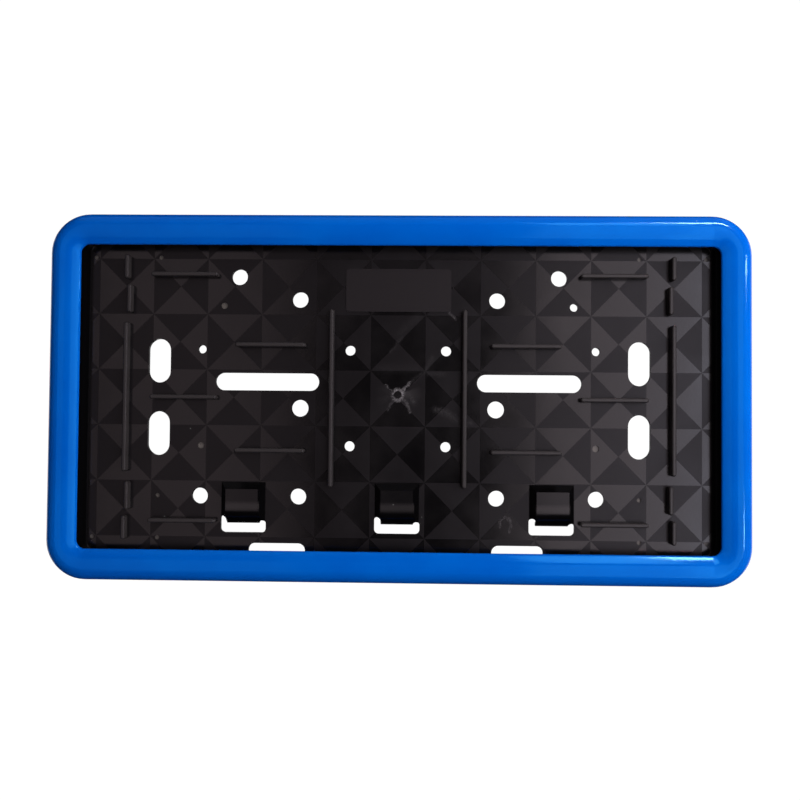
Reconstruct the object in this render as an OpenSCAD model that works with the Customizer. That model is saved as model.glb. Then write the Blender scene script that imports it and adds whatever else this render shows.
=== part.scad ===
// Number plate holder for a car: a black moulded backplate and a glossy clip-on frame.
// The holder hangs upright: X is its width, Z is up, and its front looks along -Y.
// The modules below draw it lying on its back (x right, y up, z towards the front),
// and upright() stands it up with the middle of its back face on the origin.

/* [Number plate] */
// Width of the plate that the holder takes
plate_w = 300; // [280:1:340]
// Height of the plate that the holder takes
plate_h = 150; // [148:1:170]
// Free space between the plate's edge and the frame's inner ring
plate_gap = 1.2; // [0.5:0.1:2]

/* [Frame] */
// How far the frame reaches outside the plate's edge
frame_margin = 7.6; // [7:0.1:10]
// How far the frame's lip covers the plate's edge
lip_cover = 6.5; // [4:0.1:8]
// Depth of the holder, from its back face to the frame's crown
frame_depth = 13; // [12:0.5:16]
// Outer radius of the frame's corners
frame_corner_r = 18; // [16.5:0.5:24]
// Wall of the frame's shell
shell_t = 2.2; // [1.6:0.1:2.6]
// Radius of the frame's outer shoulder
shoulder_r = 5.5; // [4:0.5:6]
// Radius of the frame's face, which falls from the shoulder to the lip
crown_r = 16; // [14.5:0.5:24]
// Thickness of the ring under the crown that seats on the flange
ring_t = 1.6; // [1:0.1:2]

/* [Snap hooks] */
// Length of one hook along the frame
hook_len = 18; // [8:1:28]
// How far a hook reaches in from the frame's wall
hook_depth = 1.2; // [0.8:0.1:1.6]
// Height of a hook above the back face
hook_h = 1.5; // [1.2:0.1:2]
// How far a hook already reaches in at its foot
hook_foot = 0.3; // [0.1:0.1:0.6]
// Height of the slope that lets the skirt slide past a hook
hook_slope_h = 0.8; // [0.4:0.1:1]
// Hooks along the top and along the bottom
hooks_long = 4; // [2:1:5]
// Hooks along each end
hooks_short = 2; // [1:1:3]

/* [Backplate] */
// Thickness of the pan's floor
floor_t = 2; // [1.6:0.1:2.4]
// Thickness of the pan's wall
pan_wall_t = 2; // [1.4:0.1:2.4]
// Thickness of the flange round the pan
flange_t = 2; // [1.5:0.1:2.4]
// Height of the flange's front above the back face, where the plate rests
seat_z = 6.5; // [5.5:0.1:7]
// Width of plate edge that rests on the flange at each end
seat_ends = 7.7; // [4:0.1:10]
// Width of plate edge that rests on the flange at the top and bottom
seat_long = 4.2; // [3:0.1:4.5]
// Thickness of the skirt round the flange
skirt_t = 1.8; // [1.2:0.1:2.2]
// Inner corner radius of the pan
pan_corner_r = 5; // [3:0.5:10]
// Fillet between the pan's floor and its wall
pan_fillet = 0.6; // [0.4:0.1:2.5]

/* [Facets] */
// Width of one cell of the pattern
cell_w = 25; // [20:0.5:30]
// Height of one cell of the pattern
cell_h = 25.4; // [20:0.1:30]
// Height of the raised triangles above the floor
facet_t = 0.1; // [0.05:0.05:0.3]
// Half the groove left between two triangles
facet_gap = 0.1; // [0.05:0.05:0.5]

/* [Ribs] */
// Thickness of a rib
rib_t = 2; // [1.4:0.1:3]
// Width of the flat land on top of a rib, between its rounded edges
rib_land = 0.6; // [0.4:0.1:1.2]
// Distance of the short ribs' middle from the centre line, outer rows
rib_outer_x = 97.5; // [94:0.5:99]
// Length of the short ribs in the outer rows
rib_outer_len = 30.5; // [24:0.5:31]
// Height of the top and bottom rows of ribs from the middle row
rib_outer_y = 56; // [53:0.5:58]
// Distance of the short ribs' middle from the centre line, inner rows
rib_inner_x = 58; // [55:0.5:60]
// Length of the short ribs in the inner rows
rib_inner_len = 32; // [24:0.5:34]
// Height of the inner rows of ribs from the middle row
rib_inner_y = 24; // [22:0.5:26]
// Distance of the tall middle ribs from the centre line
rib_middle_x = 30.2; // [28:0.2:32]
// Length of the tall middle ribs
rib_middle_len = 80.6; // [60:0.2:84]
// Distance of the tall end ribs from the centre line
rib_end_x = 124; // [120:0.5:128]
// Length of the tall end ribs
rib_end_len = 68; // [50:1:72]
// Length of the short rib next to the end rib, above and below it
stub_near_len = 12.8; // [8:0.2:13]
// Height of that short rib's middle from the centre of the plate
stub_near_y = 44.9; // [44:0.1:45.5]
// Step of that short rib towards the middle
stub_step = 1.3; // [0:0.1:1.6]
// Length of the second short rib, above and below it
stub_far_len = 10.7; // [6:0.1:11.5]
// Height of the second short rib's middle from the centre of the plate
stub_far_y = 59.4; // [59:0.1:61]

/* [Screw holes] */
// Bore of the round screw holes
screw_d = 7.3; // [5:0.1:8]
// Spacing of the lower screw holes, outer pair
low_outer_spacing = 180; // [178:0.5:182]
// Spacing of the lower screw holes, inner pair
low_inner_spacing = 90; // [88:0.5:92]
// Height of the lower screw holes below the middle
low_drop = 45; // [44:0.5:46]
// Height of the upper screw holes, inner pair
high_inner_rise = 45; // [44:0.5:46]
// Spacing of the upper screw holes, outer pair
high_outer_spacing = 146; // [144:0.5:147]
// Height of the upper screw holes, outer pair
high_outer_rise = 55.3; // [55:0.1:56]
// Bore of the two wide holes below the long slots
wide_d = 7.7; // [6:0.1:8.5]
// Spacing of the two wide holes
wide_spacing = 89.2; // [88:0.2:91]
// Height of the two wide holes below the middle
wide_drop = 4.7; // [4.5:0.1:5]
// Bore of the four middle holes
middle_d = 4.6; // [3:0.1:6]
// Spacing of the four middle holes, both ways
middle_spacing = 43.7; // [42:0.1:46]
// Bore of the two small holes near the ends
small_d = 3.8; // [3:0.1:5]
// Spacing of the two small holes
small_spacing = 179.6; // [178:0.2:181]
// Height of the two small holes
small_rise = 22; // [20:0.5:23]
// Bore of the single pilot hole
pilot_d = 3.6; // [2:0.1:4]
// Distance of the pilot hole from the centre line
pilot_x = 79.8; // [79:0.1:81]
// Height of the pilot hole
pilot_y = 42.1; // [41:0.1:43]

/* [Slots] */
// Width of the tall slots near the ends
end_slot_w = 10.1; // [7:0.1:11]
// Length of the tall slots near the ends
end_slot_len = 20; // [14:0.5:22]
// Spacing of the tall slots from left to right
end_slot_spacing_x = 218.8; // [218:0.1:222]
// Spacing of the tall slots from bottom to top
end_slot_spacing_y = 33.2; // [30:0.2:36]
// Width of the long slots
long_slot_w = 8; // [6:0.1:8.5]
// Length of the long slots
long_slot_len = 47.5; // [40:0.5:50]
// Spacing of the long slots
long_slot_spacing = 119.5; // [118:0.5:121]
// Height of the long slots above the middle
long_slot_rise = 7.3; // [7:0.1:8]
// Width of the slots at the bottom edge
edge_slot_w = 6.4; // [5:0.1:7]
// Length of the left slot at the bottom edge
edge_slot_left_len = 25.9; // [20:0.1:30]
// Length of the right slot at the bottom edge
edge_slot_right_len = 23.4; // [20:0.1:30]
// Distance of both slots at the bottom edge from the centre line
edge_slot_x = 54.6; // [50:0.1:56]
// Distance of the slots at the bottom edge below the middle
edge_slot_drop = 69.4; // [68:0.1:70]

/* [Tabs] */
// Spacing of the three raised tabs
tab_spacing = 70; // [68:0.5:72]
// Width of a tab at the floor
tab_base_w = 20.2; // [18:0.1:22]
// Width of a tab's top, which lies level with the ribs
tab_top_w = 14.6; // [11:0.1:16]
// Radius of a tab's rolled end
tab_roll_r = 7.2; // [6.8:0.1:7.8]
// Height of the rolled end's middle line below the centre of the plate
tab_roll_drop = 50.1; // [49:0.1:50.5]
// Length of a tab, from its root to its rolled end's middle line
tab_len = 11.6; // [10:0.1:13]
// Length of the steep fold at a tab's root
tab_fold_len = 3; // [2:0.1:6]
// Wall of a tab
tab_t = 1.6; // [1.2:0.1:2]
// Free space below a tab's end
tab_window = 4.2; // [4:0.1:5]
// How much the window trims off the rolled end
tab_trim = 0.2; // [0.1:0.05:0.5]
// How far the window reaches past the tab's foot on each side
tab_window_side = 0.2; // [0.1:0.05:0.5]
// Corner radius of the window
tab_window_r = 2; // [1:0.1:2]
// How far the window's left arm rises beside the free end
tab_arm_left = 3.6; // [1.5:0.1:4.5]
// How far the window's right arm rises beside the free end
tab_arm_right = 1.5; // [0.5:0.1:4.5]

/* [Badge] */
// Width of the bare raised panel
badge_w = 48; // [30:1:54]
// Height of the bare raised panel
badge_h = 19.6; // [12:0.1:22]
// Height of the panel's middle above the centre of the plate
badge_rise = 49.5; // [49:0.1:54]
// Corner radius of the panel
badge_r = 1.5; // [0.5:0.1:4]
// Thickness of the panel on the floor
badge_t = 0.5; // [0.3:0.1:1]

/* [Moulding marks] */
// Diameter of the small round ejector marks
mark_d = 2; // [1:0.1:3]
// Diameter of the larger round marks
stop_d = 3; // [2:0.1:4]
// Depth of all round marks
mark_depth = 0.7; // [0.3:0.1:1]
// Distance of the corner marks from the pan's ends
mark_end_inset = 2.8; // [2.6:0.1:6]
// Distance of the top and bottom marks from the pan's top and bottom
mark_edge_inset = 6.7; // [6:0.1:8]
// Diameter of the gate's stub in the middle
gate_d = 3.4; // [2:0.1:5]
// Height of the gate's stub above the floor
gate_h = 0.5; // [0.2:0.1:1]
// Height of the gate above the centre of the plate
gate_rise = 1.8; // [0:0.1:3]

/* [Fit] */
// Gap all round between the backplate and the frame's wall
fit_gap = 0.3; // [0.2:0.05:0.5]
// Gap between the skirt's edge and the hooks
snap_gap = 0.1; // [0.05:0.05:0.3]

/* [Hidden] */
$fn = 64;

// Overlap that lets two solids of one moulding fuse
fuse = 0.5;
// Extra length of a cut past a face
past = 1;

frame_w = plate_w + 2 * frame_margin;
frame_h = plate_h + 2 * frame_margin;
bar_w = frame_margin + lip_cover;
lip_r = shell_t / 2;
lip_angle = acos((bar_w - lip_r - shoulder_r) / (crown_r - lip_r));
ring_u = frame_margin - plate_gap - ring_t;

rim_u = shell_t + fit_gap;
flange_w = frame_w - 2 * rim_u;
flange_h = frame_h - 2 * rim_u;
flange_corner_r = frame_corner_r - rim_u;
pan_w = plate_w - 2 * seat_ends;
pan_h = plate_h - 2 * seat_long;
skirt_z = hook_h + snap_gap;

tab_centre_z = seat_z - tab_roll_r;
tab_end_y = -tab_roll_drop - tab_roll_r;
tab_root_y = tab_len - tab_roll_drop;
tab_free_y = tab_end_y + tab_trim;
tab_window_y = tab_end_y - tab_window;
tab_flank = (tab_base_w - tab_top_w) / 2;
tab_rise = seat_z - floor_t;
tab_lean = atan2(tab_flank, tab_rise);
tab_slope = atan2(tab_rise, tab_fold_len);

rib_h = seat_z - floor_t + fuse;
rib_edge_r = (rib_t - rib_land) / 2;

// Stands the holder up: its front looks along -Y and its back lies in the XZ plane.
module upright() {
    rotate([90, 0, 0])
        children();
}

module both_sides() {
    children();
    mirror([1, 0, 0])
        children();
}

module top_and_bottom() {
    children();
    mirror([0, 1, 0])
        children();
}

module rounded_rect(w, h, r) {
    square([w - 2 * r, h], center = true);
    square([w, h - 2 * r], center = true);
    for (x = [-1, 1], y = [-1, 1])
        translate([x * (w / 2 - r), y * (h / 2 - r)])
            circle(r = r);
}

module stadium(len, w) {
    square([len - w, w], center = true);
    for (side = [-1, 1])
        translate([side * (len - w) / 2, 0])
            circle(d = w);
}

// Sweeps a section round a rectangle with rounded corners. The section's first axis is the
// distance in from the rectangle's edge, and its second axis is the height.
module swept_round(w, h, r) {
    straight_x = w - 2 * r;
    straight_y = h - 2 * r;
    for (turn = [0, 180])
        rotate([0, 0, turn]) {
            translate([-straight_x / 2, -h / 2, 0])
                rotate([90, 0, 90])
                    linear_extrude(height = straight_x)
                        children();
            translate([w / 2, -straight_y / 2, 0])
                rotate([90, 0, 180])
                    linear_extrude(height = straight_y)
                        children();
            translate([w / 2 - r, h / 2 - r, 0])
                rotate_extrude(angle = 90)
                    translate([r, 0])
                        mirror([1, 0])
                            children();
            translate([r - w / 2, h / 2 - r, 0])
                rotate([0, 0, 90])
                    rotate_extrude(angle = 90)
                        translate([r, 0])
                            mirror([1, 0])
                                children();
        }
}

// Section of the frame: outer wall, shoulder, sloping face with a round lip, and seat ring.
module frame_section() {
    square([shell_t, frame_depth - shoulder_r]);
    intersection() {
        translate([shoulder_r, frame_depth - shoulder_r])
            difference() {
                circle(r = shoulder_r);
                circle(r = shoulder_r - shell_t);
            }
        translate([0, frame_depth - shoulder_r])
            square(shoulder_r);
    }
    translate([shoulder_r, frame_depth - crown_r]) {
        intersection() {
            difference() {
                circle(r = crown_r);
                circle(r = crown_r - shell_t);
            }
            polygon([[0, 0], 2 * crown_r * [cos(lip_angle), sin(lip_angle)], [0, 2 * crown_r]]);
        }
        rotate(lip_angle)
            translate([crown_r - lip_r, 0])
                circle(r = lip_r);
    }
    translate([ring_u, seat_z])
        square([ring_t, frame_depth - shell_t / 2 - seat_z]);
}

// Section of a hook, which slides past the skirt and catches under it.
module hook_section() {
    polygon([
        [shell_t - fuse, 0],
        [shell_t + hook_foot, 0],
        [shell_t + hook_depth, hook_slope_h],
        [shell_t + hook_depth, hook_h],
        [shell_t - fuse, hook_h]
    ]);
}

module hook_row(count, run, edge) {
    for (i = [0 : count - 1])
        translate([((i + 0.5) / count - 0.5) * run - hook_len / 2, -edge, 0])
            rotate([90, 0, 90])
                linear_extrude(height = hook_len)
                    hook_section();
}

module frame() {
    color("royalblue")
        upright() {
            swept_round(frame_w, frame_h, frame_corner_r)
                frame_section();
            for (turn = [0, 180])
                rotate([0, 0, turn]) {
                    hook_row(hooks_long, frame_w - 2 * frame_corner_r, frame_h / 2);
                    rotate([0, 0, 90])
                        hook_row(hooks_short, frame_h - 2 * frame_corner_r, frame_w / 2);
                }
        }
}

// One cell of the pattern: two triangles that point at the cell's middle.
module facet_pair(w, h) {
    tip_y = facet_gap * norm([w, h]) / w;
    base_y = h / 2 - facet_gap;
    base_x = (base_y - tip_y) * w / h;
    top_and_bottom()
        polygon([[-base_x, base_y], [0, tip_y], [base_x, base_y]]);
}

// Neighbouring cells are turned by a quarter, so their triangles alternate.
module facets() {
    columns = ceil(pan_w / cell_w / 2);
    rows = ceil(pan_h / cell_h / 2);
    margin = pan_fillet + facet_gap;
    tab_margin = tab_window_side + 2 * facet_gap;
    intersection() {
        for (column = [-columns : columns], row = [-rows : rows])
            translate([column * cell_w, row * cell_h])
                if ((column + row) % 2 == 0)
                    facet_pair(cell_w, cell_h);
                else
                    rotate(90)
                        facet_pair(cell_h, cell_w);
        difference() {
            rounded_rect(pan_w - 2 * margin, pan_h - 2 * margin, pan_corner_r - margin);
            place_tabs()
                translate([-tab_base_w / 2 - tab_margin, tab_window_y - tab_margin])
                    square([tab_base_w + 2 * tab_margin, tab_root_y - tab_window_y + 2 * tab_margin]);
        }
    }
}

module pan() {
    difference() {
        union() {
            linear_extrude(height = seat_z)
                rounded_rect(pan_w + 2 * pan_wall_t, pan_h + 2 * pan_wall_t, pan_corner_r + pan_wall_t);
            translate([0, 0, seat_z - flange_t])
                linear_extrude(height = flange_t)
                    rounded_rect(flange_w, flange_h, flange_corner_r);
        }
        translate([0, 0, floor_t])
            linear_extrude(height = seat_z)
                rounded_rect(pan_w, pan_h, pan_corner_r);
    }
    swept_round(pan_w, pan_h, pan_corner_r)
        difference() {
            translate([-fuse, floor_t - fuse])
                square(pan_fillet + fuse);
            translate([pan_fillet, floor_t + pan_fillet])
                circle(r = pan_fillet);
        }
    swept_round(flange_w, flange_h, flange_corner_r)
        translate([0, skirt_z])
            square([skirt_t, seat_z - flange_t / 2 - skirt_z]);
}

// Half of a rib's section, with the land on top and a rounded edge beside it.
module rib_half() {
    round_h = rib_h - rib_edge_r;
    square([rib_t / 2, round_h]);
    square([rib_land / 2, rib_h]);
    translate([rib_land / 2, round_h])
        intersection() {
            circle(r = rib_edge_r);
            square(rib_edge_r);
        }
}

module rib(len) {
    straight = len - rib_t;
    translate([0, 0, floor_t - fuse]) {
        translate([-straight / 2, 0, 0])
            rotate([90, 0, 90])
                linear_extrude(height = straight) {
                    rib_half();
                    mirror([1, 0])
                        rib_half();
                }
        for (turn = [-90, 90])
            rotate(turn)
                translate([0, straight / 2, 0])
                    rotate_extrude(angle = 180)
                        rib_half();
    }
}

module ribs() {
    for (y = [-rib_outer_y, 0, rib_outer_y])
        translate([rib_outer_x, y, 0])
            rib(rib_outer_len);
    for (y = [-rib_inner_y, rib_inner_y])
        translate([rib_inner_x, y, 0])
            rib(rib_inner_len);
    translate([rib_middle_x, 0, 0])
        rotate(90)
            rib(rib_middle_len);
    translate([rib_end_x, 0, 0])
        rotate(90)
            rib(rib_end_len);
    top_and_bottom() {
        translate([rib_end_x - stub_step, stub_near_y, 0])
            rotate(90)
                rib(stub_near_len);
        translate([rib_end_x, stub_far_y, 0])
            rotate(90)
                rib(stub_far_len);
    }
}

// Side view of a tab, drawn with y to the right: a steep fold at the root, a flat top
// and a rolled end, all moved in by the inset.
module tab_profile(inset) {
    r = tab_roll_r - inset;
    root_x = tab_len - inset / sin(tab_slope);
    shoulder_x = tab_len - tab_fold_len - inset * tan(tab_slope / 2);
    below = -tab_roll_r - past;
    translate([-tab_roll_drop, tab_centre_z]) {
        circle(r = r);
        polygon([
            [0, r],
            [shoulder_x, r],
            [root_x, floor_t - tab_centre_z],
            [root_x, below],
            [0, below]
        ]);
        translate([-r, below])
            square([r + fuse, -below]);
    }
}

// End view of a tab: its flanks lean in towards the top.
module tab_flanks(inset) {
    foot = tab_base_w / 2 - inset / cos(tab_lean);
    low_x = foot + tan(tab_lean) * (floor_t + past);
    high_x = foot - tan(tab_lean) * (tab_rise + past);
    polygon([[-low_x, -past], [low_x, -past], [high_x, seat_z + past], [-high_x, seat_z + past]]);
}

module tab_form(inset) {
    intersection() {
        translate([-tab_base_w, 0, 0])
            rotate([90, 0, 90])
                linear_extrude(height = 2 * tab_base_w)
                    tab_profile(inset);
        rotate([90, 0, 0])
            linear_extrude(height = 2 * tab_roll_drop)
                tab_flanks(inset);
    }
}

// One arm of the opening under a tab, with a round end beside the tab's flank.
module tab_arm(x, w, rise) {
    low_y = tab_window_y + tab_window_r;
    round_y = tab_end_y + rise - w / 2;
    translate([x - w / 2, low_y])
        square([w, round_y - low_y]);
    translate([x, round_y])
        circle(d = w);
}

// The opening under a tab: a window below its free end, with an arm up each side.
module tab_cut() {
    low_y = tab_window_y + tab_window_r;
    window_w = tab_base_w + 2 * tab_window_side;
    arm_w = tab_flank + tab_window_side;
    arm_x = (window_w - arm_w) / 2;
    translate([0, 0, -past])
        linear_extrude(height = seat_z + 2 * past) {
            translate([-window_w / 2, low_y])
                square([window_w, tab_free_y - low_y]);
            translate([0, low_y])
                stadium(window_w, 2 * tab_window_r);
            tab_arm(-arm_x, arm_w, tab_arm_left);
            tab_arm(arm_x, arm_w, tab_arm_right);
        }
}

module place_tabs() {
    for (i = [-1 : 1])
        translate([i * tab_spacing, 0, 0])
            children();
}

module through(d) {
    translate([0, 0, -past])
        cylinder(h = seat_z + 2 * past, d = d);
}

module through_slot(len, w) {
    translate([0, 0, -past])
        linear_extrude(height = seat_z + 2 * past)
            stadium(len, w);
}

module screw_holes() {
    both_sides() {
        translate([low_outer_spacing / 2, -low_drop, 0])
            through(screw_d);
        translate([low_inner_spacing / 2, -low_drop, 0])
            through(screw_d);
        translate([low_inner_spacing / 2, high_inner_rise, 0])
            through(screw_d);
        translate([high_outer_spacing / 2, high_outer_rise, 0])
            through(screw_d);
        translate([wide_spacing / 2, -wide_drop, 0])
            through(wide_d);
        translate([small_spacing / 2, small_rise, 0])
            through(small_d);
        top_and_bottom()
            translate([middle_spacing / 2, middle_spacing / 2, 0])
                through(middle_d);
    }
    translate([pilot_x, pilot_y, 0])
        through(pilot_d);
}

module slots() {
    both_sides() {
        top_and_bottom()
            translate([end_slot_spacing_x / 2, end_slot_spacing_y / 2, 0])
                rotate(90)
                    through_slot(end_slot_len, end_slot_w);
        translate([long_slot_spacing / 2, long_slot_rise, 0])
            through_slot(long_slot_len, long_slot_w);
    }
    translate([-edge_slot_x, -edge_slot_drop, 0])
        through_slot(edge_slot_left_len, edge_slot_w);
    translate([edge_slot_x, -edge_slot_drop, 0])
        through_slot(edge_slot_right_len, edge_slot_w);
}

module blind_mark(x, y, d) {
    translate([x, y, floor_t - mark_depth])
        cylinder(h = mark_depth + past, d = d);
}

module marks() {
    corner_x = pan_w / 2 - mark_end_inset;
    corner_y = pan_h / 2 - mark_edge_inset;
    slot_x = end_slot_spacing_x / 2;
    both_sides() {
        top_and_bottom() {
            blind_mark(corner_x, corner_y, mark_d);
            blind_mark(slot_x, corner_y, mark_d);
        }
        blind_mark(slot_x, -low_drop, mark_d);
        blind_mark(small_spacing / 2, -small_rise, stop_d);
    }
    blind_mark(-pilot_x, pilot_y, stop_d);
}

module backplate() {
    color([0.06, 0.06, 0.065])
        upright()
            difference() {
                union() {
                    pan();
                    translate([0, 0, floor_t - facet_t])
                        linear_extrude(height = 2 * facet_t)
                            facets();
                    both_sides()
                        ribs();
                    translate([0, badge_rise, 0])
                        linear_extrude(height = floor_t + badge_t)
                            rounded_rect(badge_w, badge_h, badge_r);
                    translate([0, gate_rise, 0])
                        cylinder(h = floor_t + gate_h, d = gate_d);
                    place_tabs()
                        intersection() {
                            tab_form(0);
                            translate([-tab_base_w, -plate_h, 0])
                                cube([2 * tab_base_w, plate_h, frame_depth]);
                        }
                }
                place_tabs() {
                    tab_form(tab_t);
                    tab_cut();
                }
                screw_holes();
                slots();
                marks();
            }
}

backplate();
frame();
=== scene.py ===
import math

import bpy
from mathutils import Matrix, Vector

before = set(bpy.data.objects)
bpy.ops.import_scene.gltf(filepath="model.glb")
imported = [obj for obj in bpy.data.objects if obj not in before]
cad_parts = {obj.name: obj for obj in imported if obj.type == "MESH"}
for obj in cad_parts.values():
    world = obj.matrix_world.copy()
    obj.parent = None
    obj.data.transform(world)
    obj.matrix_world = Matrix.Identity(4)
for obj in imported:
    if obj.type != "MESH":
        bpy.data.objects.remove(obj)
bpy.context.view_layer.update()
bpy.ops.object.select_all(action="DESELECT")
print("number plate holder: frame loaded")


# Camera, where the photographer stood: straight in front and a little low
cameraSet = {
    "place": (0.01007, -0.400, -0.0110),
    "turnDeg": 1.303,
    "tiltDeg": 1.504,
    "rollDeg": 0.511,
    "lensMm": 39.33,
    "sensorMm": 36,
    "clip": (0.01, 20),
}


def makeCamera():
    wanted = cameraSet
    data = bpy.data.cameras.new("camera")
    data.lens = wanted["lensMm"]
    data.sensor_width = wanted["sensorMm"]
    data.clip_start, data.clip_end = wanted["clip"]
    camera = bpy.data.objects.new("camera", data)
    bpy.context.scene.collection.objects.link(camera)
    turn = Matrix.Rotation(math.radians(wanted["turnDeg"]), 4, "Z")
    tilt = Matrix.Rotation(math.radians(90 + wanted["tiltDeg"]), 4, "X")
    roll = Matrix.Rotation(math.radians(wanted["rollDeg"]), 4, "Z")
    camera.matrix_world = Matrix.Translation(wanted["place"]) @ turn @ tilt @ roll
    bpy.context.scene.camera = camera


# Small helpers for building node materials; places on the part are in millimetres,
# and a mask is 1 where its finish lies and 0 elsewhere
def newMaterial(name):
    material = bpy.data.materials.new(name)
    material.use_nodes = True
    tree = material.node_tree
    tree.nodes.clear()
    shader = tree.nodes.new("ShaderNodeBsdfPrincipled")
    output = tree.nodes.new("ShaderNodeOutputMaterial")
    tree.links.new(shader.outputs["BSDF"], output.inputs["Surface"])
    return material, tree, shader


def feed(tree, socket, value):
    if isinstance(value, bpy.types.NodeSocket):
        tree.links.new(value, socket)
    else:
        socket.default_value = value


def feedAll(tree, node, values):
    for name, value in values.items():
        feed(tree, node.inputs[name], value)


def calc(tree, operation, first, second=0.0):
    node = tree.nodes.new("ShaderNodeMath")
    node.operation = operation
    feed(tree, node.inputs[0], first)
    feed(tree, node.inputs[1], second)
    return node.outputs[0]


def vector(tree, operation, first, second=(0, 0, 0), scale=1.0):
    node = tree.nodes.new("ShaderNodeVectorMath")
    node.operation = operation
    feed(tree, node.inputs[0], first)
    if operation == "SCALE":
        feed(tree, node.inputs["Scale"], scale)
    elif operation not in ("LENGTH", "NORMALIZE"):
        feed(tree, node.inputs[1], second)
    isNumber = operation in ("DOT_PRODUCT", "LENGTH", "DISTANCE")
    return node.outputs["Value" if isNumber else "Vector"]


def separate(tree, value):
    node = tree.nodes.new("ShaderNodeSeparateXYZ")
    feed(tree, node.inputs[0], value)
    return node.outputs


def spread(tree, value, low, high, toLow=0.0, toHigh=1.0):
    node = tree.nodes.new("ShaderNodeMapRange")
    limits = {"From Min": low, "From Max": high, "To Min": toLow, "To Max": toHigh}
    feedAll(tree, node, {"Value": value, **limits})
    return node.outputs["Result"]


# A Mix node's first input, second input and result, for numbers and for colours
mixSockets = {"FLOAT": (2, 3, 0), "RGBA": (6, 7, 2)}


def blend(tree, share, first, second, kind="FLOAT"):
    node = tree.nodes.new("ShaderNodeMix")
    node.data_type = kind
    firstInput, secondInput, result = mixSockets[kind]
    feed(tree, node.inputs[0], share)
    feed(tree, node.inputs[firstInput], first)
    feed(tree, node.inputs[secondInput], second)
    return node.outputs[result]


def blendColour(tree, share, first, second):
    return blend(tree, share, first, second, "RGBA")


def noise(tree, place, scale, detail, roughness):
    node = tree.nodes.new("ShaderNodeTexNoise")
    feedAll(tree, node, {"Vector": place, "Scale": scale, "Detail": detail, "Roughness": roughness})
    return node.outputs["Fac"]


def bump(tree, height, distance, strength, under=None):
    node = tree.nodes.new("ShaderNodeBump")
    feedAll(tree, node, {"Height": height, "Distance": distance, "Strength": strength})
    if under is not None:
        feed(tree, node.inputs["Normal"], under)
    return node.outputs["Normal"]


def placeInMm(tree):
    place = tree.nodes.new("ShaderNodeTexCoord").outputs["Object"]
    return vector(tree, "SCALE", place, scale=1000.0)


# The place without its depth, then how far across, how far up and how far out of the back
def measure(tree, inMm):
    split = separate(tree, inMm)
    rise = calc(tree, "MULTIPLY", split["Y"], -1.0)
    flat = vector(tree, "MULTIPLY", inMm, (1, 0, 1))
    return flat, split["X"], split["Z"], rise


def joinMasks(tree, operation, masks):
    result = masks[0]
    for mask in masks[1:]:
        result = calc(tree, operation, result, mask)
    return result


def allOf(tree, *masks):
    return joinMasks(tree, "MULTIPLY", masks)


def anyOf(tree, *masks):
    return joinMasks(tree, "MAXIMUM", masks)


def above(tree, value, limit):
    return calc(tree, "GREATER_THAN", value, limit)


def below(tree, value, limit):
    return calc(tree, "LESS_THAN", value, limit)


def awayFrom(tree, value, middle):
    return calc(tree, "ABSOLUTE", calc(tree, "SUBTRACT", value, middle))


def near(tree, value, middle, reach):
    return below(tree, awayFrom(tree, value, middle), reach)


# A straight stroke, full along its middle and gone at its half width
def stroke(tree, flat, start, end, halfWidth):
    run = Vector((end[0] - start[0], 0, end[1] - start[1]))
    offset = vector(tree, "SUBTRACT", flat, (start[0], 0, start[1]))
    share = calc(tree, "DIVIDE", vector(tree, "DOT_PRODUCT", offset, run), run.length_squared)
    share.node.use_clamp = True
    nearest = vector(tree, "SCALE", run, scale=share)
    return spread(tree, vector(tree, "DISTANCE", offset, nearest), halfWidth, 0.0)


def strokePath(tree, flat, points, halfWidth):
    legs = zip(points, points[1:])
    return anyOf(tree, *[stroke(tree, flat, start, end, halfWidth) for start, end in legs])


def wavering(tree, place, scale, reach):
    node = tree.nodes.new("ShaderNodeTexNoise")
    feedAll(tree, node, {"Vector": place, "Scale": scale})
    average = (0.5, 0.5, 0.5)
    shift = vector(tree, "SUBTRACT", node.outputs["Color"], average)
    shift = vector(tree, "MULTIPLY", shift, (reach, 0, reach))
    return vector(tree, "ADD", place, shift)


def specks(tree, place, scale, size, share):
    cells = tree.nodes.new("ShaderNodeTexVoronoi")
    feedAll(tree, cells, {"Vector": place, "Scale": scale})
    chosen = tree.nodes.new("ShaderNodeSeparateColor")
    feed(tree, chosen.inputs[0], cells.outputs["Color"])
    rim = size * scale
    core = rim * 0.4    # a speck is full in its core and fades towards its rim
    dot = spread(tree, cells.outputs["Distance"], rim, core)
    return allOf(tree, dot, above(tree, chosen.outputs[0], 1.0 - share))


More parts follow.
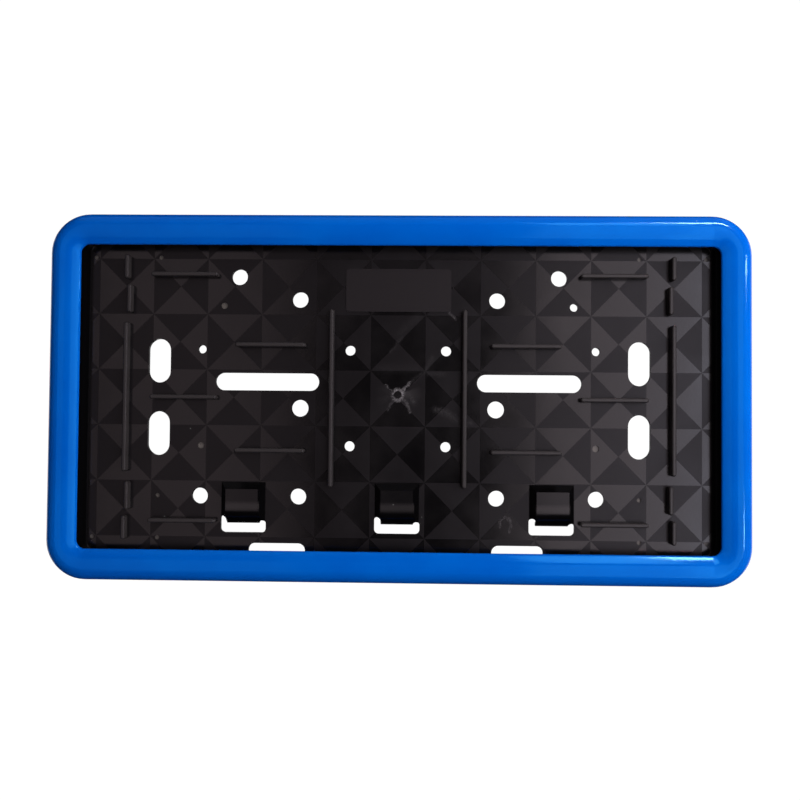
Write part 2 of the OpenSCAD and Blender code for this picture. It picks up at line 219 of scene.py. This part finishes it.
# Backplate: black plastic, moulded with alternate satin and matt triangles
backplateSet = {
    # Heights above the back, and places across and up from the middle
    "backSkin": 0.5,
    "markDepth": (0.6, 1.6),
    "floorTop": 2.3,
    "ribStart": 2.7,
    "ribReach": 130.0,
    "cellWidth": 25.0,
    "cellHeight": 25.4,
    "tabTop": 5.6,
    "tabCrest": -49.2,
    "tabSpacing": 70.0,
    "tabReach": 10.6,
    "tabsUp": -38.0,
    # A painted highlight along each tab's crest: gone this far from the crest, full this near, in
    # millimetres
    "tabHighlightBand": (2.6, 0.6),
    "badgeMiddle": 49.5,
    "badgeReach": (24.2, 10.0),
    # Painted shade: the floor darkens from here out to the pan walls, and the walls are dark, where
    # the lip shades them
    "wallShadeStart": (140.9, 70.0),
    "wallShadeFade": 1.4,
    "frontFacing": -0.8,
    # Colours
    "satinColour": (0.0022, 0.0019, 0.0022, 1),
    "mattColour": (0.0038, 0.0031, 0.0036, 1),
    # Lighter grey of the ribs: painted sheen on the black ribs; the same grey also gives the
    # floor's random cloudy tone and the tab-crest highlight
    "ribSheenAndToneColour": (0.0340, 0.0285, 0.0290, 1),
    "badgeColour": (0.0092, 0.0068, 0.0075, 1),
    "markColour": (0.1250, 0.1050, 0.0950, 1),
    "tabColour": (0.0016, 0.0014, 0.0017, 1),
    # The dark colour of the painted shade by the walls
    "wallShadeColour": (0.0012, 0.0011, 0.0012, 1),
    "scuffColour": (0.220, 0.195, 0.205, 1),
    "dustColour": (0.200, 0.195, 0.185, 1),
    # Gloss
    "satinRoughness": 0.18,
    "mattRoughness": 0.33,
    "ribRoughness": 0.34,
    "tabRoughness": 0.24,
    "badgeRoughness": 0.44,
    "wallRoughness": 0.85,
    "scuffRoughness": 0.70,
    "satinGleam": (1.0, 0.85, 0.90, 1),
    "mattGleam": (0.70, 0.59, 0.635, 1),
    # Dimmer reflections in the painted shade by the walls
    "wallShadeGleam": (0.25, 0.21, 0.24, 1),
    "satinOffFloor": 0.5,
    # Noises: scale, detail and roughness
    "grit": (1.6, 3.0, 0.65),
    "cloud": (0.035, 4.0, 0.6),
    "mattGrain": (2.6, 2.0, 0.6),
    "satinGrain": (0.9, 2.0, 0.5),
    # How a noise is used: from low to high, and what it gives from there to there
    "scratchBreaks": (0.34, 0.60, 0.15, 1.35),
    "craterBreaks": (0.38, 0.56),
    "dustBreaks": (0.35, 0.5, 0.4, 1.0),
    "cloudTint": (0.4, 0.7, 0.0, 0.08),
    "cloudRoughness": (0.3, 0.7, -0.045, 0.055),
    # Wear: how the scratches waver (scale, reach) and dust (scale, size, share); and how strong the
    # painted highlight on the tab crests is
    "waver": (0.55, 2.2),
    "dust": (0.085, 0.34, 0.16),
    "tabHighlightShare": 0.7,
    # Bumps: height in metres and strength
    "grainBump": (0.000012, 0.5),
    "scoreBump": (0.00008, 0.6),
    # The star-shaped mark at the moulding gate
    "gate": (0.1, 1.8),
    "gateRays": (1.5, 2.0, 0.6),
    "gateRayEdges": (0.40, 0.62),
    "fanReach": (11.0, 1.0),
    "fanShare": 0.16,
    "craterOuter": (3.6, 1.9),
    "craterInner": (0.5, 1.2),
}

# Scratches and flow lines in the floor: half width, strength, and points in millimetres
scuffSet = {
    "hook": (0.75, 0.14, (46.5, -58.0), (47.0, -54.6), (48.9, -53.1), (51.2, -54.6), (51.9, -57.6)),
    "hookTail": (0.60, 0.10, (51.3, -54.9), (50.8, -60.4)),
    "badgeCorner": (0.80, 0.30, (23.4, 39.4), (25.9, 36.5)),
    "gateUpRight": (0.95, 0.60, (1.8, 2.8), (3.9, 5.6), (5.2, 7.2)),
    "gateToRib": (1.50, 0.05, (5.0, 7.0), (9.6, 10.4), (12.6, 13.0), (15.6, 18.8)),
    "gateUpLeft": (0.75, 0.22, (-1.8, 2.6), (-5.6, 6.0)),
    "gateDownRight": (1.00, 0.26, (3.2, -0.6), (4.4, -3.0), (5.7, -6.2)),
    "gateDownLeft": (0.90, 0.12, (-2.2, -0.2), (-4.4, -5.0)),
    "gateRight": (1.60, 0.14, (4.6, 2.6), (7.4, -1.4)),
    "cellEdge": (3.20, 0.020, (-9.5, 13.8), (9.0, 13.8)),
    "cellEdgeRight": (1.80, 0.05, (14.2, 11.6), (20.6, 11.4)),
    "towardsRib": (2.20, 0.09, (17.4, -4.8), (22.2, -6.2), (27.4, -9.8)),
    "besideRib": (0.90, 0.06, (27.9, -10.4), (33.6, -10.9)),
    "belowBadge": (3.00, 0.022, (8.6, 36.8), (4.0, 33.4), (0.6, 29.6)),
    "belowBadgeTip": (1.00, 0.05, (1.8, 28.2), (-3.4, 21.6)),
}


# Each cell is cut by its diagonals, and the pattern turns by a quarter from cell to cell
def triangleMask(tree, across, up):
    half = 0.5    # the middle cell lies over the part's middle
    column = calc(tree, "ADD", calc(tree, "DIVIDE", across, backplateSet["cellWidth"]), half)
    row = calc(tree, "ADD", calc(tree, "DIVIDE", up, backplateSet["cellHeight"]), half)
    fromMiddleX = awayFrom(tree, calc(tree, "FRACT", column), half)
    fromMiddleZ = awayFrom(tree, calc(tree, "FRACT", row), half)
    cell = calc(tree, "ADD", calc(tree, "FLOOR", column), calc(tree, "FLOOR", row))
    turned = calc(tree, "FLOORED_MODULO", cell, 2.0)
    upright = above(tree, fromMiddleZ, fromMiddleX)
    return awayFrom(tree, upright, turned)


def gateFlow(tree, flat):
    wanted = backplateSet
    offset = vector(tree, "SUBTRACT", flat, (wanted["gate"][0], 0, wanted["gate"][1]))
    radius = vector(tree, "LENGTH", offset)
    rays = noise(tree, vector(tree, "NORMALIZE", offset), *wanted["gateRays"])
    fan = allOf(
        tree,
        spread(tree, rays, *wanted["gateRayEdges"]),
        spread(tree, radius, *wanted["fanReach"]),
    )
    crater = allOf(
        tree,
        spread(tree, radius, *wanted["craterOuter"]),
        spread(tree, radius, *wanted["craterInner"]),
    )
    return fan, crater


def scratchMask(tree, flat):
    marks = []
    for halfWidth, strength, *points in scuffSet.values():
        marks.append(allOf(tree, strokePath(tree, flat, points, halfWidth), strength))
    return anyOf(tree, *marks)


def backplateMaterial():
    wanted = backplateSet
    material, tree, shader = newMaterial("blackPlastic")
    inMm = placeInMm(tree)
    flat, across, up, rise = measure(tree, inMm)
    reachX = calc(tree, "ABSOLUTE", across)
    onFront = above(tree, rise, wanted["backSkin"])
    onFloor = allOf(tree, onFront, below(tree, rise, wanted["floorTop"]))

    # Where each finish lies, where a highlight is painted on the tab crests and where shade is
    # painted by the walls
    tabMiddles = [side * wanted["tabSpacing"] for side in (-1, 0, 1)]
    tabColumns = [near(tree, across, middle, wanted["tabReach"]) for middle in tabMiddles]
    onTab = allOf(
        tree,
        anyOf(tree, *tabColumns),
        below(tree, up, wanted["tabsUp"]),
        above(tree, rise, wanted["floorTop"]),
    )
    # A painted highlight: a lighter band along the crest of each tab
    paintedTabHighlight = allOf(
        tree,
        spread(tree, awayFrom(tree, up, wanted["tabCrest"]), *wanted["tabHighlightBand"]),
        onTab,
        above(tree, rise, wanted["tabTop"]),
    )
    onBadge = allOf(
        tree,
        below(tree, reachX, wanted["badgeReach"][0]),
        near(tree, up, wanted["badgeMiddle"], wanted["badgeReach"][1]),
        above(tree, rise, wanted["floorTop"]),
    )
    onRib = allOf(
        tree,
        above(tree, rise, wanted["ribStart"]),
        calc(tree, "SUBTRACT", 1.0, onTab),
        below(tree, reachX, wanted["ribReach"]),
    )
    facing = separate(tree, tree.nodes.new("ShaderNodeTexCoord").outputs["Normal"])
    markLow, markHigh = wanted["markDepth"]
    inMark = allOf(
        tree,
        below(tree, rise, markHigh),
        above(tree, rise, markLow),
        below(tree, facing["Y"], wanted["frontFacing"]),
    )
    # Painted shade: darker over the last millimetres of floor before the pan walls and on the
    # walls, where the lip shades them
    shadeStartX, shadeStartZ = wanted["wallShadeStart"]
    pastEnd = calc(tree, "SUBTRACT", reachX, shadeStartX)
    pastTop = calc(tree, "SUBTRACT", calc(tree, "ABSOLUTE", up), shadeStartZ)
    paintedWallShade = spread(tree, anyOf(tree, pastEnd, pastTop), 0.0, wanted["wallShadeFade"])

    # Wear: scratches and flow marks round the gate, and sparse dust
    grit = noise(tree, inMm, *wanted["grit"])
    wavy = wavering(tree, flat, *wanted["waver"])
    scratches = allOf(
        tree,
        scratchMask(tree, wavy),
        spread(tree, grit, *wanted["scratchBreaks"]),
        onFloor,
    )
    fan, crater = gateFlow(tree, wavy)
    crater = allOf(tree, crater, onFloor, spread(tree, grit, *wanted["craterBreaks"]))
    dust = specks(tree, inMm, *wanted["dust"])
    dust = allOf(tree, dust, spread(tree, grit, *wanted["dustBreaks"]))

    # Satin triangles lie on the floor; the rest of the front is halfway, and the back is matt
    satin = triangleMask(tree, across, up)
    satin = allOf(tree, blend(tree, onFloor, wanted["satinOffFloor"], satin), onFront)
    cloud = noise(tree, inMm, *wanted["cloud"])

    colour = blendColour(tree, satin, wanted["mattColour"], wanted["satinColour"])
    tinted = spread(tree, cloud, *wanted["cloudTint"])
    # Random cloudy tone, towards the same grey
    colour = blendColour(tree, tinted, colour, wanted["ribSheenAndToneColour"])
    # The ribs get the lighter grey as a painted sheen
    colour = blendColour(tree, onRib, colour, wanted["ribSheenAndToneColour"])
    colour = blendColour(tree, onTab, colour, wanted["tabColour"])
    # The painted highlight on the tab crests, in the ribs' lighter grey
    paintedTabHighlight = allOf(tree, paintedTabHighlight, wanted["tabHighlightShare"])
    colour = blendColour(tree, paintedTabHighlight, colour, wanted["ribSheenAndToneColour"])
    colour = blendColour(tree, onBadge, colour, wanted["badgeColour"])
    colour = blendColour(tree, inMark, colour, wanted["markColour"])
    # Painted shade by the walls
    colour = blendColour(tree, paintedWallShade, colour, wanted["wallShadeColour"])
    fan = allOf(tree, fan, onFloor, spread(tree, satin, 1.0, 0.0, 0.0, wanted["fanShare"]))
    scuffed = anyOf(tree, scratches, crater, fan)
    colour = blendColour(tree, scuffed, colour, wanted["scuffColour"])
    colour = blendColour(tree, dust, colour, wanted["dustColour"])
    feed(tree, shader.inputs["Base Color"], colour)

    rough = blend(tree, satin, wanted["mattRoughness"], wanted["satinRoughness"])
    rough = blend(tree, onRib, rough, wanted["ribRoughness"])
    rough = blend(tree, onTab, rough, wanted["tabRoughness"])
    rough = blend(tree, onBadge, rough, wanted["badgeRoughness"])
    rough = blend(tree, paintedWallShade, rough, wanted["wallRoughness"])
    dulled = anyOf(tree, scratches, crater, dust)
    rough = blend(tree, dulled, rough, wanted["scuffRoughness"])
    rough = calc(tree, "ADD", rough, spread(tree, cloud, *wanted["cloudRoughness"]))
    feed(tree, shader.inputs["Roughness"], rough)

    mattGrain = noise(tree, inMm, *wanted["mattGrain"])
    satinGrain = noise(tree, inMm, *wanted["satinGrain"])
    grain = bump(tree, blend(tree, satin, mattGrain, satinGrain), *wanted["grainBump"])
    scored = bump(tree, anyOf(tree, scratches, crater), *wanted["scoreBump"], under=grain)
    feed(tree, shader.inputs["Normal"], scored)

    gleam = blendColour(tree, satin, wanted["mattGleam"], wanted["satinGleam"])
    # The painted shade by the walls also dims the reflections there
    gleam = blendColour(tree, paintedWallShade, gleam, wanted["wallShadeGleam"])
    feed(tree, shader.inputs["Specular Tint"], gleam)
    return material


# Frame: glossy blue plastic, with faint smears, sparse dust and a soft waviness.
# Its noises, ranges, dust and bump are given in the same order as the backplate's.
frameSet = {
    "colour": (0.0, 0.142, 0.70, 1),
    "deepColour": (0.0, 0.122, 0.65, 1),
    "dustColour": (0.30, 0.52, 0.85, 1),
    "gleam": (0.07, 0.55, 1.0, 1),
    "roughness": 0.09,
    "dustRoughness": 0.6,
    "dustShare": 0.7,
    "dust": (0.09, 0.30, 0.14),
    "cloud": (0.03, 3.0, 0.55),
    "cloudEdges": (0.35, 0.65),
    "smears": (0.5, 4.0, 0.7),
    "smearStretch": (0.25, 1.0, 1.0),
    "smearRoughness": (0.45, 0.75, 0.0, 0.06),
    "peel": (0.22, 2.0, 0.5),
    "peelBump": (0.00003, 0.04),
}


def frameMaterial():
    wanted = frameSet
    material, tree, shader = newMaterial("bluePlastic")
    inMm = placeInMm(tree)
    deep = spread(tree, noise(tree, inMm, *wanted["cloud"]), *wanted["cloudEdges"])
    dust = specks(tree, inMm, *wanted["dust"])
    colour = blendColour(tree, deep, wanted["colour"], wanted["deepColour"])
    dusty = allOf(tree, dust, wanted["dustShare"])
    colour = blendColour(tree, dusty, colour, wanted["dustColour"])
    feed(tree, shader.inputs["Base Color"], colour)
    stretched = vector(tree, "MULTIPLY", inMm, wanted["smearStretch"])
    smears = spread(tree, noise(tree, stretched, *wanted["smears"]), *wanted["smearRoughness"])
    rough = calc(tree, "ADD", wanted["roughness"], smears)
    rough = blend(tree, dust, rough, wanted["dustRoughness"])
    feed(tree, shader.inputs["Roughness"], rough)
    peel = bump(tree, noise(tree, inMm, *wanted["peel"]), *wanted["peelBump"])
    feed(tree, shader.inputs["Normal"], peel)
    shader.inputs["Specular Tint"].default_value = wanted["gleam"]
    return material


def dress(node, material):
    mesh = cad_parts[node].data
    mesh.materials.clear()
    mesh.materials.append(material)


# Floor and backdrop: one pale shell, seen by the camera but not in the reflections
stageSet = {
    "floorZ": -0.50,
    "radius": 1.4,
    "segments": 64,
    "rings": 32,
    "coveWidth": 0.35,
    "coveSteps": 12,
    "coveAngleDeg": 40,
    "glow": 1.02,
    "shade": 0.05,
}


def makeStage():
    wanted = stageSet
    bpy.ops.mesh.primitive_uv_sphere_add(
        segments=wanted["segments"], ring_count=wanted["rings"], radius=wanted["radius"]
    )
    shell = bpy.context.object
    shell.name = "studioFloor"
    bpy.ops.object.mode_set(mode="EDIT")
    bpy.ops.mesh.select_all(action="SELECT")
    floor = (0, 0, wanted["floorZ"])
    bpy.ops.mesh.bisect(plane_co=floor, plane_no=(0, 0, 1), clear_inner=True, use_fill=True)
    bpy.ops.mesh.select_all(action="SELECT")
    bpy.ops.mesh.normals_make_consistent(inside=True)
    bpy.ops.object.mode_set(mode="OBJECT")
    bevel = shell.modifiers.new("cove", "BEVEL")
    bevel.width = wanted["coveWidth"]
    bevel.segments = wanted["coveSteps"]
    bevel.angle_limit = math.radians(wanted["coveAngleDeg"])
    bpy.ops.object.modifier_apply(modifier=bevel.name)
    bpy.ops.object.shade_smooth()
    material, tree, shader = newMaterial("paleFloor")
    feedAll(tree, shader, {
        "Base Color": (wanted["shade"],) * 3 + (1,),
        "Roughness": 1.0,
        "Specular IOR Level": 0.0,
        "Emission Color": (1, 1, 1, 1),
        "Emission Strength": wanted["glow"],
    })
    shell.data.materials.append(material)
    shell.visible_diffuse = False
    shell.visible_glossy = False
    shell.visible_shadow = False


# Lights: soft panels round the object, each at an azimuth and elevation in degrees, with a
# distance and a size in metres. A "soft" one leaves no reflection, a "gloss" one shows in
# reflections alone, and a "frameGloss" one in the frame's reflections alone.
plainLight = {"away": 1.5, "colour": (1.0, 1.0, 1.0), "serves": "all"}
lightSet = {
    "panelLeft": {
        "angles": (-18.5, -3), "size": (0.45, 1.24), "bright": 0.54, "colour": (1.0, 0.95, 0.96),
    },
    "panelRight": {
        "angles": (15.8, -3), "size": (0.33, 1.24), "bright": 1.55, "colour": (0.98, 1.0, 1.02),
    },
    "panelFarRight": {
        "angles": (26, -3), "size": (0.22, 1.24), "bright": 2.90, "colour": (0.86, 1.0, 1.12),
    },
    "panelSide": {
        "angles": (62, 4), "away": 0.7, "size": (0.84, 0.84), "bright": 2.10, "serves": "soft",
    },
    "panelNear": {
        "angles": (42, 28), "away": 0.40, "size": (0.24, 0.24), "bright": 2.60, "serves": "soft",
    },
    "panelEdge": {
        "angles": (62, 4), "away": 0.7, "size": (0.84, 0.84), "bright": 0.70,
        "colour": (0.95, 1.0, 1.0), "serves": "gloss",
    },
    "panelMiddle": {
        "angles": (0, 15), "size": (0.40, 0.30), "bright": 0.12, "colour": (1.0, 0.96, 1.0),
    },
    "panelTop": {
        "angles": (14, 66), "away": 0.6, "size": (1.10, 0.66), "bright": 0.35,
        "colour": (0.95, 1.0, 1.0),
    },
    "panelWall": {
        "angles": (-62, 6), "size": (0.90, 1.10), "bright": 0.08, "colour": (1.0, 0.95, 0.98),
    },
    "panelBackRight": {
        "angles": (138, -2), "away": 1.2, "size": (1.3, 1.2), "bright": 0.80,
    },
    "panelBackLeft": {
        "angles": (222, -2), "away": 1.2, "size": (1.3, 1.2), "bright": 0.80,
    },
    "lampStreak": {
        "angles": (18, 33), "size": (0.30, 0.40), "bright": 5.0, "serves": "frameGloss",
    },
    "lampGlint": {
        "angles": (35, 39.5), "size": (0.40, 0.26), "bright": 48.0,
        "colour": (2.6, 1.0, 1.0), "serves": "frameGloss",
    },
    "lampUpper": {
        "angles": (54, 11.0), "size": (0.44, 0.03), "bright": 36.0,
        "colour": (2.0, 1.0, 1.0), "serves": "frameGloss",
    },
    "lampLower": {
        "angles": (36, -8.4), "size": (0.08, 0.10), "bright": 34.0,
        "colour": (2.0, 1.0, 1.0), "serves": "frameGloss",
    },
}
roomGlow = (0.014, 0.0135, 0.015, 1)

# The "frameGloss" lights reach only what is in this collection
frameOnly = bpy.data.collections.new("frameOnly")
frameOnly.objects.link(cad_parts["frame"])


def makeLight(name, setting):
    wanted = {**plainLight, **setting}
    data = bpy.data.lights.new(name, "AREA")
    data.shape = "RECTANGLE"
    data.size, data.size_y = wanted["size"]
    data.color = wanted["colour"]
    data.energy = wanted["bright"] * math.pi * data.size * data.size_y
    light = bpy.data.objects.new(name, data)
    bpy.context.scene.collection.objects.link(light)
    azimuth, elevation = (math.radians(angle) for angle in wanted["angles"])
    ahead = math.cos(elevation)
    aim = Vector((math.sin(azimuth) * ahead, -math.cos(azimuth) * ahead, math.sin(elevation)))
    light.location = aim * wanted["away"]
    light.rotation_euler = (-aim).to_track_quat("-Z", "Y").to_euler()
    light.visible_camera = False
    light.visible_diffuse = wanted["serves"] in ("all", "soft")
    light.visible_glossy = wanted["serves"] != "soft"
    if wanted["serves"] == "frameGloss":
        light.light_linking.receiver_collection = frameOnly


def makeWorld():
    world = bpy.data.worlds.new("room")
    bpy.context.scene.world = world
    world.use_nodes = True
    world.node_tree.nodes["Background"].inputs["Color"].default_value = roomGlow


def setLook():
    view = bpy.context.scene.view_settings
    view.view_transform = "Standard"
    view.look = "None"


makeCamera()
print("camera set")
dress("backplate", backplateMaterial())
print("backplate: black plastic with satin and matt triangles")
dress("frame", frameMaterial())
print("frame: glossy blue plastic")
makeStage()
for name, setting in lightSet.items():
    makeLight(name, setting)
makeWorld()
setLook()
print("floor and lights set")
